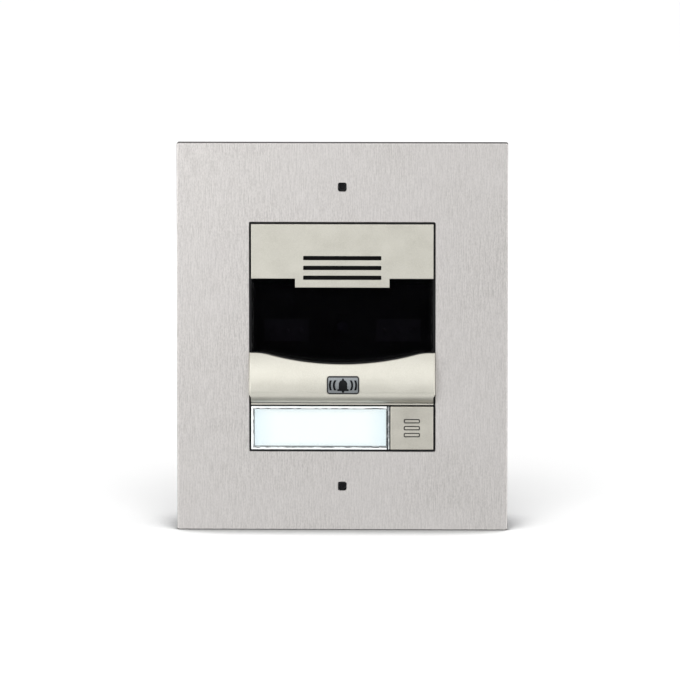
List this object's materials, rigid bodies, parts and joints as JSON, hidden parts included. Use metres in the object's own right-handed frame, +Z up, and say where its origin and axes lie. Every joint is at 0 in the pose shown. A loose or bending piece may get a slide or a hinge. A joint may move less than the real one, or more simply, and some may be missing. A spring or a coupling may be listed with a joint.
{
  "type": "door intercom panel",
  "caption": "Flush door intercom: brushed steel frame plate, smoked camera window, speaker grille, lit name tag and call button, over an in-wall box.",
  "frame": {"origin": "centre of the plate's back rim, in the plane of the finished wall", "axes": "+X right as seen from the street, +Y into the wall, +Z up"},
  "size_m": [0.13, 0.0543, 0.153],
  "materials": {
    "frame_steel": "fine vertical brushing, satin",
    "screw_black": "blackened, satin",
    "zinc_steel": "zinc plated",
    "brass": "turned",
    "gold": "gold flash",
    "foam": "closed-cell foam, matt",
    "silicone": "moulded, matt",
    "black_plastic": "fine grain",
    "box_plastic": "moulded, matt",
    "cover_metal": "warm satin metallic",
    "badge_metal": "grey metallic",
    "emblem_metal": "black lacquered, rubbed edges",
    "smoked": "polished smoked window",
    "clear": "clear polycarbonate, polished",
    "card": "white, backlit",
    "diffuser": "opal light guide",
    "led_white": "cased diode",
    "led_clear": "smoked domed diode",
    "board_green": "solder resist",
    "chip": "moulded epoxy",
    "relay_blue": "moulded",
    "copper_tape": "taped windings",
    "can": "bare can with sleeve",
    "jack": "moulded",
    "terminal_green": "moulded",
    "button_red": "moulded",
    "spring_steel": "drawn wire",
    "glass": "coated",
    "basket": "stamped, lacquered",
    "mesh": "woven acoustic cloth",
    "cone": "formed film",
    "coil": "enamelled wire",
    "lead_red": "insulated",
    "mic_can": "stamped can"
  },
  "bodies": {
    "panel": {"flush_box": "box_plastic", "cable_grommets": "silicone", "box_inserts": "brass", "wall_gasket": "foam", "front_plate": "frame_steel", "screw_bridges": "zinc_steel", "fixing_screws": "screw_black", "plate_studs": "zinc_steel", "stud_nuts": "zinc_steel", "module_seal": "foam", "front_chassis": "black_plastic", "rear_housing": "black_plastic", "inner_seals": "foam", "housing_screws": "zinc_steel", "speaker_cover": "cover_metal", "nose_cover": "cover_metal", "cover_screws": "zinc_steel", "badge": "badge_metal", "badge_emblem": "emblem_metal", "camera_window": "smoked", "tag_light_guide": "diffuser", "tag_leds": "led_white", "front_board": "board_green", "keypad_web": "silicone", "keypad_base": "silicone", "main_board": "board_green", "board_link": "chip", "board_screws": "zinc_steel", "processor_chip": "chip", "transformers": "copper_tape", "door_relay": "relay_blue", "capacitors": "can", "network_socket": "jack", "gold_contacts": "gold", "terminal_header": "terminal_green", "tamper_switch": "chip", "tamper_spring": "spring_steel", "reset_switch": "chip", "camera_bracket": "black_plastic", "camera_unit": "chip", "lens_barrel": "black_plastic", "camera_lens": "glass", "infrared_lights": "led_clear", "loudspeaker": "basket", "speaker_mesh": "mesh", "speaker_leads": "lead_red", "microphone_boot": "silicone", "microphone": "mic_can", "speaker_surround": "silicone"},
    "button": {"call_button": "cover_metal", "button_plunger": "silicone", "contact_pill": "silicone"},
    "name_tag": {"name_tag_cover": "clear", "name_card": "card"},
    "cone": {"speaker_cone": "cone", "voice_coil": "coil"},
    "tamper": {"tamper_plunger": "black_plastic"},
    "reset": {"reset_button": "button_red"},
    "plug": {"terminal_plug": "terminal_green", "terminal_screws": "zinc_steel"}
  },
  "joints": [
    {"name": "call_button_press", "type": "slide", "parent": "panel", "child": "button", "axis": [0, 1, 0], "range_m": [0, 0.0007], "stiffness_N_per_m": 2600, "springref_m": -0.0002, "deforming": ["keypad_web"]},
    {"name": "name_tag_lift", "type": "slide", "parent": "panel", "child": "name_tag", "axis": [0, -1, 0], "range_m": [0, 0.012]},
    {"name": "speaker_travel", "type": "slide", "parent": "panel", "child": "cone", "axis": [0, 1, 0], "range_m": [-0.0004, 0.0004], "stiffness_N_per_m": 1400, "deforming": ["speaker_surround"]},
    {"name": "tamper_press", "type": "slide", "parent": "panel", "child": "tamper", "axis": [0, -1, 0], "range_m": [0, 0.0005], "stiffness_N_per_m": 700, "springref_m": -0.0015, "deforming": ["tamper_spring"]},
    {"name": "reset_press", "type": "slide", "parent": "panel", "child": "reset", "axis": [0, 0, 1], "range_m": [0, 0.0003], "stiffness_N_per_m": 3000, "springref_m": -0.0001},
    {"name": "terminal_plug_pull", "type": "slide", "parent": "panel", "child": "plug", "axis": [0, 0, -1], "range_m": [0, 0.0105]}
  ]
}
